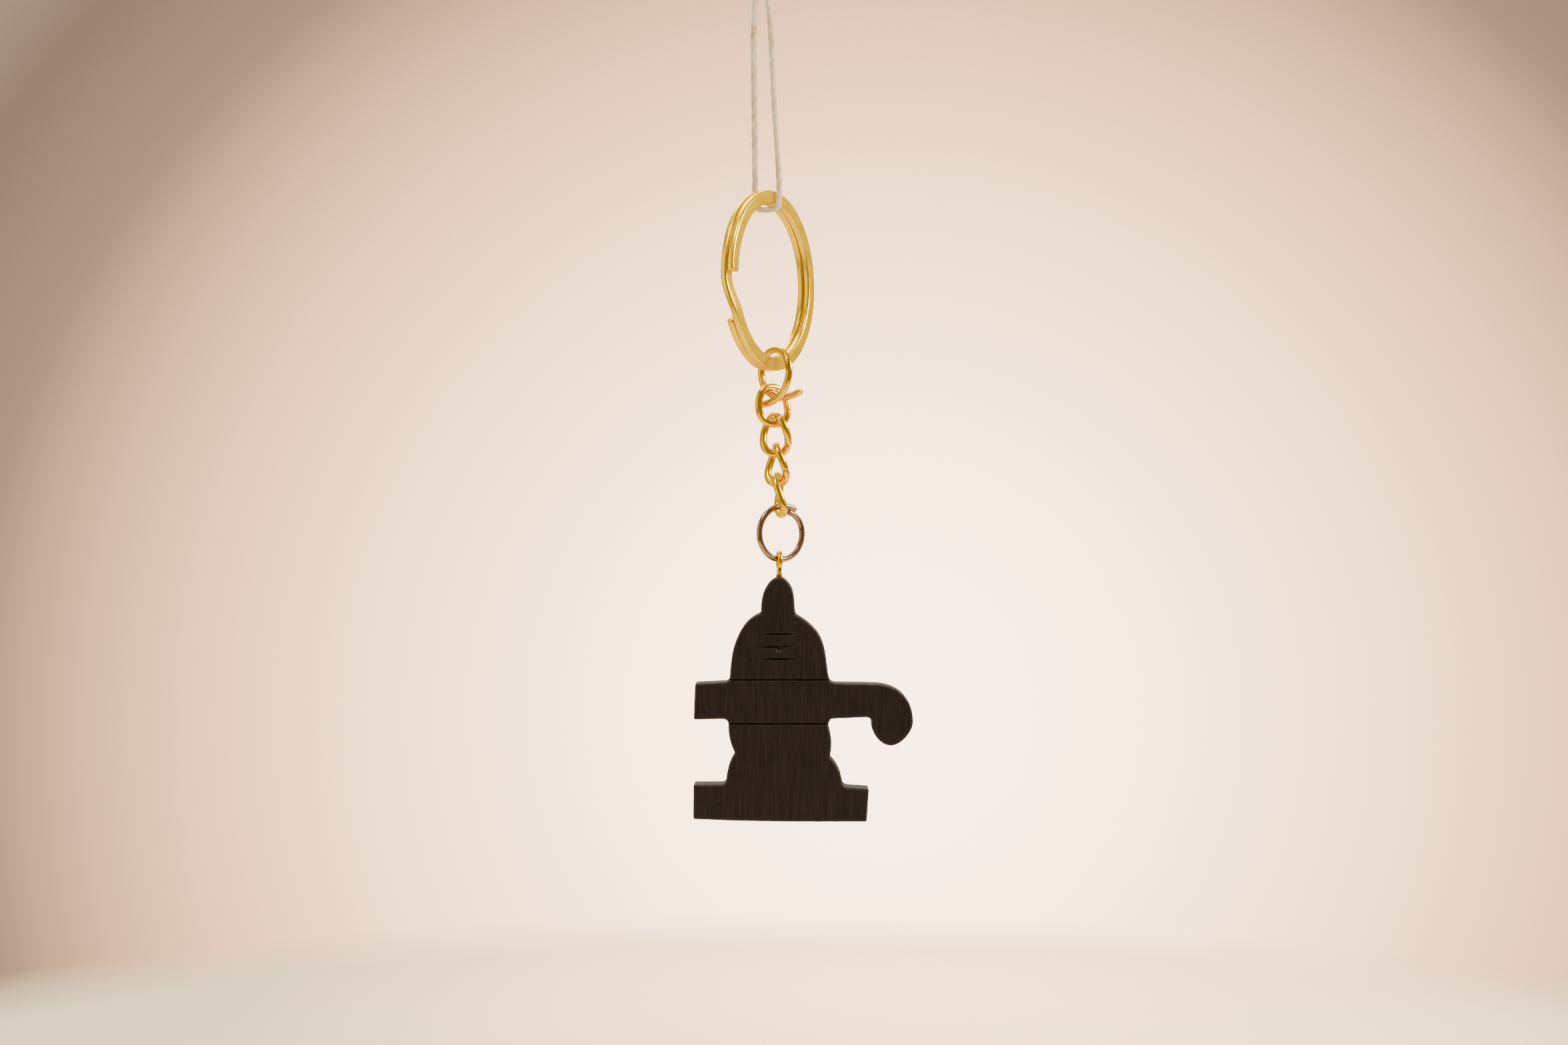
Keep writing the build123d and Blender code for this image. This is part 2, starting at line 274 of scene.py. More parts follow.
def metal(name, bright, deep, worn, edge, rough, wear_from):
    """Plated wire: drawn lines along the wire, patches of deeper colour, worn spots."""
    material, shader, node, link = new_material(name)
    shader.inputs["Metallic"].default_value = 1.0
    shader.inputs["Specular Tint"].default_value = (*edge, 1)
    place = node("ShaderNodeTexCoord")
    spot = place.outputs["Object"]
    patches = node("ShaderNodeTexNoise", {"Vector": spot, "Scale": 420.0, "Detail": 3.0})
    base = ramp(node, patches.outputs["Fac"], [(0.35, deep), (0.62, bright)])
    spots = node("ShaderNodeTexNoise", {"Vector": spot, "Scale": 900.0, "Detail": 6.0, "Roughness": 0.7})
    spot_mask = ramp(node, spots.outputs["Fac"], [(wear_from, (0, 0, 0)), (wear_from + 0.1, (1, 1, 1))])
    colour = node("ShaderNodeMix", {0: spot_mask, 6: base, 7: (*worn, 1)}, data_type="RGBA")
    link(colour.outputs[2], shader.inputs["Base Color"])
    # lines drawn along the wire
    lines_at = node("ShaderNodeMapping", {"Vector": place.outputs["UV"], "Scale": (0.35, 26.0, 1.0)})
    lines = node("ShaderNodeTexNoise", {"Vector": lines_at.outputs[0], "Scale": 1.6, "Detail": 5.0})
    dents = node("ShaderNodeTexNoise", {"Vector": spot, "Scale": 1500.0, "Detail": 2.0})
    rough_mix = node(
        "ShaderNodeMapRange",
        {
            "Value": lines.outputs["Fac"],
            "From Min": 0.3,
            "From Max": 0.7,
            "To Min": rough * 0.8,
            "To Max": rough * 1.25,
        },
    )
    rough_worn = node(
        "ShaderNodeMath", {0: spot_mask, 1: 0.22, 2: rough_mix.outputs[0]}, operation="MULTIPLY_ADD"
    )
    link(rough_worn.outputs[0], shader.inputs["Roughness"])
    height = node(
        "ShaderNodeMath", {0: lines.outputs["Fac"], 1: 0.4, 2: dents.outputs["Fac"]}, operation="MULTIPLY_ADD"
    )
    bump = node("ShaderNodeBump", {"Height": height.outputs[0], "Strength": 0.12, "Distance": 0.02 * MM})
    link(bump.outputs[0], shader.inputs["Normal"])
    return material


GOLD_EDGE = (1.0, 0.80, 0.24)
gold = metal(
    "gold_wire", (1.0, 0.65, 0.015), (0.88, 0.49, 0.005), (0.42, 0.22, 0.05), GOLD_EDGE, 0.19, 0.70
)
ring_gold = metal(
    "gold_ring", (1.0, 0.68, 0.012), (0.94, 0.57, 0.006), (0.56, 0.35, 0.17), GOLD_EDGE, 0.29, 0.62
)
bronze = metal(
    "bronze_wire", (0.46, 0.28, 0.19), (0.31, 0.17, 0.11), (0.62, 0.44, 0.33), (0.62, 0.46, 0.38), 0.19, 0.66
)


# ---- split ring: one flat wire wound twice, with a crossing between the coils ----
def heading(turn):
    """Horizontal direction to the right, turned towards the viewer by turn degrees."""
    return np.array((math.cos(math.radians(turn)), -math.sin(math.radians(turn)), 0.0))


RING_TURN = -63.0
RING_OUTER = ring_high.z - ring_low.z
BAND_RADIAL = 2.1 * MM
BAND_AXIAL = 1.05 * MM
LAYER_LIFT = (BAND_AXIAL + 0.06 * MM) / 2
FIRST_END, SECOND_END = 179.0, 210.5
JOG_FROM, JOG_TO = 209.0, 181.0
ring_centre = (np.array(ring_low) + np.array(ring_high)) / 2
ring_side = heading(RING_TURN)
ring_axis = np.cross(ring_side, UP)


def band_section():
    """Flat wire with softly rounded corners and flat faces."""
    points = []
    corner = 0.33 * MM
    across, thick = BAND_RADIAL / 2 - corner, BAND_AXIAL / 2 - corner
    for corner_x, corner_y, start in ((1, 1, 0), (-1, 1, 90), (-1, -1, 180), (1, -1, 270)):
        for step in range(7):
            a = math.radians(start + 15 * step)
            points.append(
                (corner_x * across + corner * math.cos(a), corner_y * thick + corner * math.sin(a))
            )
        if start in (0, 180):
            for part in (0.25, 0.5, 0.75):
                points.append((corner_x * across * (1 - 2 * part), corner_y * (thick + corner)))
    return np.array(points)


def make_split_ring():
    """The whole wire as one skin: front coil, crossing, back coil."""
    end_angle = SECOND_END - 720
    verts, faces, uv = [], [], []
    section = band_section()
    n = len(section)
    radius = (RING_OUTER - BAND_RADIAL) / 2
    angles = np.arange(FIRST_END, end_angle, -1.25).tolist() + [end_angle]
    rounding = 0.16 * MM
    step_far = math.radians(1.25) * radius
    for i, angle in enumerate(angles):
        crossing = min(1, max(0, (JOG_FROM - 360 - angle) / (JOG_FROM - JOG_TO)))
        lift = LAYER_LIFT * math.cos(math.pi * crossing)
        a = math.radians(angle)
        outward = ring_side * math.cos(a) + UP * math.sin(a)
        centre = ring_centre + outward * radius + ring_axis * lift
        to_end = min(i, len(angles) - 1 - i) * step_far
        shrink = 1 - 0.12 * max(0, 1 - to_end / rounding) if to_end < rounding else 1
        wave = noise.noise(Vector((angle * 0.05, 3.1, 0))) * 0.012 * MM
        for k, (p, q) in enumerate(section):
            verts.append(centre + outward * (p * shrink + wave * (p < 0)) + ring_axis * q * shrink)
            uv.append((i * step_far / MM, k / n))
    rows = len(angles)
    for i in range(rows - 1):
        for k in range(n):
            k2 = (k + 1) % n
            faces.append((i * n + k, i * n + k2, (i + 1) * n + k2, (i + 1) * n + k))
    for row, flip in ((0, True), (rows - 1, False)):
        verts.append(np.mean(verts[row * n:(row + 1) * n], axis=0))
        uv.append((row * step_far / MM, 0.5))
        hub = len(verts) - 1
        for k in range(n):
            k2 = (k + 1) % n
            edge = (row * n + k2, row * n + k) if flip else (row * n + k, row * n + k2)
            faces.append((hub, *edge))
    return make_object("split_ring_wire", verts, faces, ring_gold, uv)


split_ring = make_split_ring()
settle(split_ring, "split_ring")
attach(split_ring, "split_ring")
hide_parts("split_ring")


# ---- round wires ----
WIRE_SIDES = 20


def round_wire(name, line, diameter, material, seed, uneven=0.012, cut_round=0.12):
    """Round wire with snipped, slightly rounded ends and the small dents of its tools."""
    step = np.linalg.norm(line[1] - line[0])
    radius = diameter / 2
    angles = np.linspace(0, 2 * math.pi, WIRE_SIDES, endpoint=False)

    def section(i):
        points = []
        for a in angles:
            place = (math.cos(a) * 0.9 + seed * 7.3, math.sin(a) * 0.9, i * step / MM * 0.7)
            bumps = noise.noise(Vector(place))
            r = radius * (1 - uneven + uneven * bumps)
            points.append((math.cos(a) * r, math.sin(a) * r))
        return points

    to_end = np.minimum(np.arange(len(line)), np.arange(len(line))[::-1]) * step
    scale = np.where(to_end < cut_round * MM, 0.90 + 0.10 * to_end / (cut_round * MM), 1.0)
    return skin(name, line, section, material, scale=scale)


def finish_piece(obj, node, body):
    """Centres a piece on its CAD node, which it replaces, and lets it ride."""
    settle(obj, node)
    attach(obj, body)
    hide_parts(node)


WIRE_STEP = 0.12 * MM
# connector ring, sprung open, with crossed ends
CONNECTOR_RADIUS = 3.65
connector_side = heading(49.0)
connector_axis = np.cross(UP, connector_side)
connector_points = [(4.8, -3.15, 1.1), (2.9, -3.6, 0.95), (1.4, -3.85, 0.8), (-0.2, -3.8, 0.62)]
ARC_FROM, ARC_TO, ARC_STEP = 235, -30, 15
for angle in range(ARC_FROM, ARC_TO - 1, -ARC_STEP):
    part_way = (ARC_FROM - angle) / (ARC_FROM - ARC_TO)
    a = math.radians(angle)
    connector_points.append(
        (CONNECTOR_RADIUS * math.cos(a), CONNECTOR_RADIUS * math.sin(a), 0.45 - 0.85 * part_way)
    )
connector_points += [(1.7, -3.75, -0.52), (0.3, -4.4, -0.62), (-1.2, -4.75, -0.66), (-3.2, -4.95, -0.66)]
connector_line = smooth_line(
    [(connector_side * x + UP * z + connector_axis * y) * MM for x, z, y in connector_points], WIRE_STEP
)
connector = round_wire("connector_wire", connector_line, 1.14 * MM, gold, 1, 0.014)


def pinch(obj, tip, slopes):
    """Cuts the wire's free end to a blunt wedge, one slanted face for each slope."""
    for slope in slopes:
        place = (connector_side * tip[0] + UP * tip[1]) * MM
        normal = unit(connector_side * abs(slope) + UP * math.copysign(1, slope))
        work = bmesh.new()
        work.from_mesh(obj.data)
        near = []
        for face in work.faces:
            middle = np.array(face.calc_center_median()) / MM
            if middle @ connector_side > 3.5 and middle @ connector_axis > 0.3:
                near.append(face)
        # dicts keep the order, so that the mesh comes out the same each run
        edges = dict.fromkeys(e for f in near for e in f.edges)
        corners = dict.fromkeys(v for f in near for v in f.verts)
        bmesh.ops.bisect_plane(
            work,
            geom=[*near, *edges, *corners],
            dist=1e-8,
            plane_co=Vector(place),
            plane_no=Vector(normal),
            clear_outer=True,
        )
        rim = [e for e in work.edges if e.is_boundary]
        for face in bmesh.ops.edgeloop_fill(work, edges=rim)["faces"]:
            face.smooth = False
        bmesh.ops.recalc_face_normals(work, faces=work.faces)
        work.to_mesh(obj.data)
        work.free()


pinch(connector, (5.0, -3.1), (0.5, -0.91))
finish_piece(connector, "connector_ring", "connector_ring")

# chain links
LINK_SQUARE = 2.3
SEAM_GAP = 0.08


def link_line(top, bottom, top_turn, bottom_turn, width, seam):
    """Centre line of a twisted curb link, open at its seam. Millimetres in, metres out."""
    top, bottom = np.array(top), np.array(bottom)
    half_gap = 180 * SEAM_GAP / (width + top[2] - bottom[2])
    steps = 36
    line = []
    for step in range(steps + 1):
        a = math.radians(seam + half_gap + (360 - 2 * half_gap) * step / steps)
        s, c = math.sin(a), math.cos(a)
        rise = 0.5 + math.copysign(abs(s) ** (2 / LINK_SQUARE), s) / 2
        side = heading(bottom_turn + (top_turn - bottom_turn) * rise)
        out = math.copysign(abs(c) ** (2 / LINK_SQUARE), c) * width / 2
        line.append((bottom + (top - bottom) * rise + side * out) * MM)
    return smooth_line(line, WIRE_STEP)


links = {
    1: link_line((0.35, 2.55, -28.29), (0.8, 2.4, -34.09), -36, -8, 4.8, -14),
    2: link_line((0.85, 2.4, -32.80), (1.05, 2.4, -38.80), 62, 5, 4.45, -28),
    3: link_line((1.05, 2.4, -37.52), (1.25, 2.4, -43.52), 90, 30, 4.45, -12),
    4: link_line((1.25, 2.4, -42.24), (1.9, 1.75, -48.29), 108, 68, 4.45, 172),
}
for number, line in links.items():
    piece = round_wire(f"link_wire_{number}", line, 1.2 * MM, gold, 2 + number, 0.016, cut_round=0.08)
    finish_piece(piece, f"chain_link_{number}", f"link_{number}")

# jump ring, with lapped ends
JUMP_RADIUS, JUMP_SPREAD, LAP_LENGTH = 4.12, 0.52, 75.0
JUMP_OUTER, JUMP_INNER = 53.0, 66.0
jump_side = heading(-36.0)
wire_turn = 360 + JUMP_INNER - JUMP_OUTER
jump_points = []
for step in range(37):
    travelled = wire_turn * step / 36
    a = math.radians(JUMP_INNER - travelled)
    inward = JUMP_SPREAD * max(0, 1 - travelled / LAP_LENGTH) ** 2
    outward = JUMP_SPREAD * max(0, 1 - (wire_turn - travelled) / LAP_LENGTH) ** 2
    radius = JUMP_RADIUS - inward + outward
    jump_points.append((jump_side * radius * math.cos(a) + UP * radius * math.sin(a)) * MM)
jump = round_wire("jump_wire", smooth_line(jump_points, WIRE_STEP), 0.94 * MM, bronze, 9, 0.012)
finish_piece(jump, "jump_ring", "jump_ring")


# ---- screw eye: threaded shank, then the wire bent round into the eye ----
EYE_WIRE = 0.8 * MM
EYE_RADIUS = 1.33 * MM
SHANK_LONG = 6.5 * MM
THREAD_PITCH = 0.7 * MM
THREAD_DEEP = 0.11 * MM


def make_screw_eye():
    """One wire from the pointed foot of the screw up and round the eye."""
    eye_low, eye_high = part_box("screw_eye")
    middle_x, middle_y = (eye_low.x + eye_high.x) / 2, (eye_low.y + eye_high.y) / 2
    eye_side = heading(84.3)
    centre = np.array((middle_x, middle_y, eye_high.z - EYE_WIRE / 2 - EYE_RADIUS))
    foot = np.array((middle_x, middle_y, eye_low.z))
    neck = centre - UP * (EYE_RADIUS + 0.12 * MM)
    points = [foot + (neck - foot) * part for part in np.linspace(0, 1, 14)]
    for angle in range(-62, 238, 15):
        a = math.radians(angle)
        reach = EYE_RADIUS * (1 if angle < 200 else 0.985)
        points.append(centre + (eye_side * math.cos(a) + UP * math.sin(a)) * reach)
    step = 0.06 * MM
    line = smooth_line(points, step)
    wood_top = pendant_high.z
    tip = 0.9 * MM
    angles = np.linspace(0, 2 * math.pi, 24, endpoint=False)
    sections = []
    for i, place in enumerate(line):
        up = place[2] - foot[2]
        taper = min(1, 0.12 + 0.88 * up / tip) if i * step < SHANK_LONG else 1
        radius = EYE_WIRE / 2 * taper
        points = []
        for a in angles:
            r = radius
            if i * step < SHANK_LONG - 0.5 * MM and place[2] < wood_top:
                phase = (a / (2 * math.pi) - up / THREAD_PITCH) % 1
                r += THREAD_DEEP * taper * max(0, 1 - abs(phase - 0.5) * 5)
            points.append((math.cos(a) * r, math.sin(a) * r))
        sections.append(points)
    return skin("screw_eye_wire", line, lambda i: sections[i], gold, start=(1.0, 0, 0))


screw_eye = make_screw_eye()
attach(screw_eye, "pendant")
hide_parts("screw_eye")


# ---- pendant ----
def wood_material():
    """Dark, close-grained hardwood: upright grain, brown flecks, paler rubbed edges."""
    material, shader, node, link = new_material("dark_wood")
    place = node("ShaderNodeTexCoord").outputs["Object"]
    grain_at = node("ShaderNodeMapping", {"Vector": place, "Scale": (1.0, 1.0, 0.055)})
    grain = node(
        "ShaderNodeTexNoise",
        {"Vector": grain_at.outputs[0], "Scale": 2600.0, "Detail": 6.0, "Roughness": 0.62, "Distortion": 0.4},
    )
    base = ramp(
        node, grain.outputs["Fac"],
        [(0.28, (0.0066, 0.0034, 0.0033)), (0.52, (0.0128, 0.0068, 0.0062)), (0.78, (0.029, 0.0145, 0.0115))],
    )
    fleck_at = node("ShaderNodeMapping", {"Vector": place, "Scale": (1.0, 1.0, 0.32)})
    flecks = node(
        "ShaderNodeTexNoise",
        {"Vector": fleck_at.outputs[0], "Scale": 1300.0, "Detail": 3.0, "Roughness": 0.75},
    )
    fleck_mask = ramp(node, flecks.outputs["Fac"], [(0.66, (0, 0, 0)), (0.74, (0.55, 0.55, 0.55))])
    flecked = node(
        "ShaderNodeMix", {0: fleck_mask, 6: base, 7: (0.078, 0.036, 0.020, 1)}, data_type="RGBA"
    )
    wear = node("ShaderNodeAttribute", attribute_name="wear").outputs["Fac"]
    wear_noise = node("ShaderNodeTexNoise", {"Vector": place, "Scale": 1800.0, "Detail": 4.0})
    wear_mask = node("ShaderNodeMath", {0: wear, 1: wear_noise.outputs["Fac"]}, operation="MULTIPLY")
    rubbed = node(
        "ShaderNodeMix",
        {0: wear_mask.outputs[0], 6: flecked.outputs[2], 7: (0.070, 0.050, 0.040, 1)},
        data_type="RGBA",
    )
    # the collar round the screw's shank is coloured an even reddish brown
    collar_tint = node("ShaderNodeAttribute", attribute_name="collar_tint").outputs["Fac"]
    collar_tinted = node(
        "ShaderNodeMix", {0: collar_tint, 6: rubbed.outputs[2], 7: (0.16, 0.055, 0.014, 1)}, data_type="RGBA"
    )
    link(collar_tinted.outputs[2], shader.inputs["Base Color"])
    rough = node(
        "ShaderNodeMapRange",
        {"Value": grain.outputs["Fac"], "From Min": 0.3, "From Max": 0.7, "To Min": 0.44, "To Max": 0.60},
    )
    rough_worn = node("ShaderNodeMath", {0: wear, 1: 0.18, 2: rough.outputs[0]}, operation="MULTIPLY_ADD")
    link(rough_worn.outputs[0], shader.inputs["Roughness"])
    shader.inputs["Specular IOR Level"].default_value = 0.24
    scratch_at = node(
        "ShaderNodeMapping", {"Vector": place, "Rotation": (0, 0.5, 0), "Scale": (0.12, 1.0, 1.0)}
    )
    scratches = node("ShaderNodeTexNoise", {"Vector": scratch_at.outputs[0], "Scale": 3200.0, "Detail": 2.0})
    height = node(
        "ShaderNodeMath",
        {0: scratches.outputs["Fac"], 1: 0.35, 2: grain.outputs["Fac"]},
        operation="MULTIPLY_ADD",
    )
    bump = node("ShaderNodeBump", {"Height": height.outputs[0], "Strength": 0.45, "Distance": 0.06 * MM})
    link(bump.outputs[0], shader.inputs["Normal"])
    return material


def closed_resample(loop, step):
    """Even points round a closed line, in 2D."""
    ring = np.vstack([loop, loop[:1]])
    far = np.concatenate([[0], np.cumsum(np.linalg.norm(np.diff(ring, axis=0), axis=1))])
    count = int(far[-1] / step)
    at = np.linspace(0, far[-1], count, endpoint=False)
    return np.stack([np.interp(at, far, ring[:, k]) for k in range(2)], axis=1)


def plate_outline():
    """Outline of the plate's back face, from the CAD node, as (across, up) in millimetres."""
    mesh = frame["nodes"]["pendant"].data
    places = [tuple(round(c / MM, 4) for c in v.co) for v in mesh.vertices]
    back = max(p[1] for p in places)
    following = {}
    directed = set()
    for face in mesh.polygons:
        corners = [places[i] for i in face.vertices]
        if all(abs(p[1] - back) < 1e-3 for p in corners):
            for a, b in zip(corners, corners[1:] + corners[:1]):
                directed.add((a, b))
    for a, b in directed:
        if (b, a) not in directed:
            following[a] = b
    start = min(following)
    loop = [start]
    while following[loop[-1]] != start:
        loop.append(following[loop[-1]])
    loop = np.array([(p[0], p[2]) for p in loop])
    across, up = loop[:, 0], loop[:, 1]
    if np.sum(across * np.roll(up, -1) - np.roll(across, -1) * up) < 0:
        loop = loop[::-1]
    return loop


def edge_distance(points, outline):
    """Distance of each point to the outline."""
    start, end = outline, np.roll(outline, -1, axis=0)
    run = end - start
    length = np.maximum((run**2).sum(1), 1e-12)
    nearest = np.empty(len(points))
    batch = 2000
    for first in range(0, len(points), batch):
        p = points[first:first + batch, None, :]
        t = np.clip(((p - start) * run).sum(2) / length, 0, 1)
        off = start + run * t[..., None] - p
        nearest[first:first + batch] = np.sqrt((off**2).sum(2)).min(1)
    return nearest


# sizes of the plate and its carving, in millimetres
EDGE_ROUND = 0.36
PLATE_MIDDLE = 1.56
WALL_ROWS = 13
POINT_GAP = 0.045
COLLAR_FOOT, COLLAR_HALF = 38.1, 0.5
COLLAR_SIDES = 24
GROOVE_DEEP, GROOVE_HALF = 0.38, 0.20
# each groove: height, left end, right end
GROOVES = ((22.15, -8.3, 8.3), (15.3, -8.4, 8.4))
# each stroke: middle, height, length, slope in degrees
STROKES = ((0.05, 29.28, 6.1, 0.0), (-0.43, 27.3, 6.8, 1.6), (0.03, 25.37, 7.1, 0.0))
STROKE_DEEP, STROKE_HALF = 0.40, 0.25
NICK_HALF = 0.16
# the pit: middle, height, radius, depth
PIT = (0.1, 27.0, 0.62, 0.42)
# each nick: middle, height, length, lean in degrees, depth
NICKS = (
    (-9.6, 3.0, 0.9, 62, 0.16),
    (-8.9, 3.3, 0.7, -35, 0.14),
    (-8.2, 2.7, 1.1, 20, 0.15),
    (-9.1, 2.3, 0.8, -70, 0.13),
    (-7.6, 2.0, 0.6, 48, 0.12),
    (-8.6, 1.8, 1.0, 5, 0.12),
    (2.6, 31.1, 0.5, 55, 0.20),
    (-2.2, 4.4, 0.9, 8, 0.10),
    (5.9, 17.9, 0.6, -8, 0.12),
    (-3.5, 13.4, 0.5, 80, 0.09),
    (1.5, 9.0, 0.6, 70, 0.09),
)


def carved(across, up):
    """How far the front face is cut back at a place, in millimetres."""
    deep = 0.0
    for level, left, right in GROOVES:
        off = abs(up - level)
        if off < GROOVE_HALF * 2.2 and left < across < right:
            share = 1 - off / GROOVE_HALF
            deep = max(deep, GROOVE_DEEP * share)
            if share < 0:
                deep -= 0.018 * math.exp(-((off - GROOVE_HALF) / 0.09) ** 2)
    for middle, level, length, slope in STROKES:
        a = math.radians(slope)
        along = (across - middle) * math.cos(a) + (up - level) * math.sin(a)
        off = abs((up - level) * math.cos(a) - (across - middle) * math.sin(a))
        fall = 1 - (2 * along / length) ** 2
        if fall > 0 and off < STROKE_HALF:
            deep = max(deep, STROKE_DEEP * (fall - off / STROKE_HALF))
    far = math.hypot(across - PIT[0], (up - PIT[1]) * 0.9)
    if far < PIT[2]:
        deep = max(deep, PIT[3] * (1 - (far / PIT[2]) ** 1.6))
    for middle, level, length, lean, cut in NICKS:
        a = math.radians(lean)
        along = (across - middle) * math.cos(a) + (up - level) * math.sin(a)
        off = abs((up - level) * math.cos(a) - (across - middle) * math.sin(a))
        fall = 1 - (2 * along / length) ** 2
        if fall > 0 and off < NICK_HALF:
            deep = max(deep, cut * (fall - off / NICK_HALF))
    return deep


def make_plate(material):
    """Plate with softened edges, carved front, rasped walls and a plain back."""
    low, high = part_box("pendant")
    middle, base = PLATE_MIDDLE, low.z / MM
    front_y, back_y = low.y / MM, high.y / MM
    loop = plate_outline()
    loop[:, 1] = np.minimum(loop[:, 1], COLLAR_FOOT + base)
    loop = closed_resample(loop, 0.14)
    for _ in range(4):
        loop = (np.roll(loop, 1, 0) + 2 * loop + np.roll(loop, -1, 0)) / 4
    tangent = unit(np.roll(loop, -1, 0) - np.roll(loop, 1, 0))
    inward = np.stack([-tangent[:, 1], tangent[:, 0]], axis=1)
    ragged = np.array([0.035 * (1 + noise.noise(Vector((p[0] * 0.8, p[1] * 0.8, 4.2)))) for p in loop])
    loop = loop + inward * ragged[:, None] * 0.5
    n = len(loop)
    verts, faces, wear = [], [], []

    def face_points(fine):
        places = [loop + inward * inset for inset in (0.05, 0.13, 0.24, 0.40)]
        step = 0.42 if fine else 0.8
        grid_x, grid_z = np.meshgrid(
            np.arange(loop[:, 0].min(), loop[:, 0].max(), step),
            np.arange(loop[:, 1].min(), loop[:, 1].max(), step),
        )
        places.append(np.stack([grid_x.ravel(), grid_z.ravel()], axis=1))
        if fine:
            for level, left, right in GROOVES:
                for off in (-0.4, -0.29, -0.2, -0.13, -0.06, 0, 0.06, 0.13, 0.2, 0.29, 0.4):
                    across = np.arange(left, right, 0.2)
                    up = np.full(len(across), level + base + off)
                    places.append(np.stack([across + middle, up], axis=1))
            for centre, level, length, slope in STROKES:
                along, off = np.meshgrid(
                    np.arange(-length / 2, length / 2 + 0.05, 0.12),
                    np.linspace(-0.3, 0.3, 11),
                )
                rise = along * math.tan(math.radians(slope))
                places.append(
                    np.stack([(along + centre + middle).ravel(), (off + level + base + rise).ravel()], axis=1)
                )
            for centre, level, *_ in NICKS:
                across, off = np.meshgrid(np.arange(-0.6, 0.61, 0.1), np.arange(-0.6, 0.61, 0.1))
                places.append(
                    np.stack([(across + centre + middle).ravel(), (off + level + base).ravel()], axis=1)
                )
            across, off = np.meshgrid(np.arange(-0.7, 0.71, 0.09), np.arange(-0.7, 0.71, 0.09))
            places.append(
                np.stack([(across + PIT[0] + middle).ravel(), (off + PIT[1] + base).ravel()], axis=1)
            )
        return np.vstack(places)

    def add_face(front):
        inner = face_points(front)
        far = edge_distance(inner, loop)
        inside = np.zeros(len(inner), bool)
        start, end = loop, np.roll(loop, -1, 0)
        for i in range(n):
            (x1, z1), (x2, z2) = start[i], end[i]
            if z1 != z2:
                crosses = (z1 > inner[:, 1]) != (z2 > inner[:, 1])
                at = (x2 - x1) * (inner[:, 1] - z1) / (z2 - z1) + x1
                inside ^= crosses & (inner[:, 0] < at)
        inner = inner[inside & (far > POINT_GAP)]
        thinned = {}
        for p in inner:
            thinned.setdefault((round(p[0] / POINT_GAP), round(p[1] / POINT_GAP)), p)
        flat = np.vstack([loop, np.array(list(thinned.values()))])
        result = delaunay_2d_cdt([Vector(p) for p in flat], [], [list(range(n))], 1, 1e-5)
        places = np.array([p[:] for p in result[0]])
        far = edge_distance(places, loop)
        first = len(verts)
        for (x, z), d in zip(places, far):
            soft = EDGE_ROUND * (1 + 0.35 * noise.noise(Vector((x * 0.6, z * 0.6, 7.0))))
            edge = soft - math.sqrt(max(0, soft**2 - max(0, soft - d) ** 2))
            waves = 0.03 * noise.noise(Vector((x * 0.22, z * 0.22, 2.0)))
            ripples = 0.012 * noise.noise(Vector((x * 1.1, z * 0.5, 5.0)))
            cut = edge + 0.035 + (waves + ripples)
            rub = max(0, 1 - d / 0.42) ** 1.5
            if front:
                cut += carved(x - middle, z - base)
                verts.append((x * MM, (front_y + cut) * MM, z * MM))
            else:
                verts.append((x * MM, (back_y - cut) * MM, z * MM))
            wear.append(rub)
        for tri in result[2]:
            corners = [first + i for i in tri]
            a, b, c = (places[i] for i in tri)
            turns_left = (b[0] - a[0]) * (c[1] - a[1]) - (b[1] - a[1]) * (c[0] - a[0]) > 0
            if turns_left != front:
                corners.reverse()
            faces.append(corners)
        ring = [None] * n
        for i, origins in enumerate(result[3]):
            for origin in origins:
                if origin < n:
                    ring[origin] = first + i
        return ring

    front_ring = add_face(True)
    back_ring = add_face(False)
    rows = [front_ring]
    for row in range(1, WALL_ROWS):
        share = row / WALL_ROWS
        line = []
        for i in range(n):
            a, b = np.array(verts[front_ring[i]]) / MM, np.array(verts[back_ring[i]]) / MM
            place = a + (b - a) * share
            rasp = 0.028 * (1 + noise.noise(Vector((loop[i][0] * 2.4, loop[i][1] * 2.4, place[1] * 1.1))))
            place[0] += inward[i][0] * rasp
            place[2] += inward[i][1] * rasp
            line.append(len(verts))
            verts.append(tuple(place * MM))
            wear.append(0.16)
        rows.append(line)
    rows.append(back_ring)
    for upper, lower in zip(rows, rows[1:]):
        for i in range(n):
            i2 = (i + 1) % n
            faces.append((upper[i2], upper[i], lower[i], lower[i2]))
    plate_size = len(verts)
    collar_top = high.z / MM
    collar_foot = COLLAR_FOOT + base
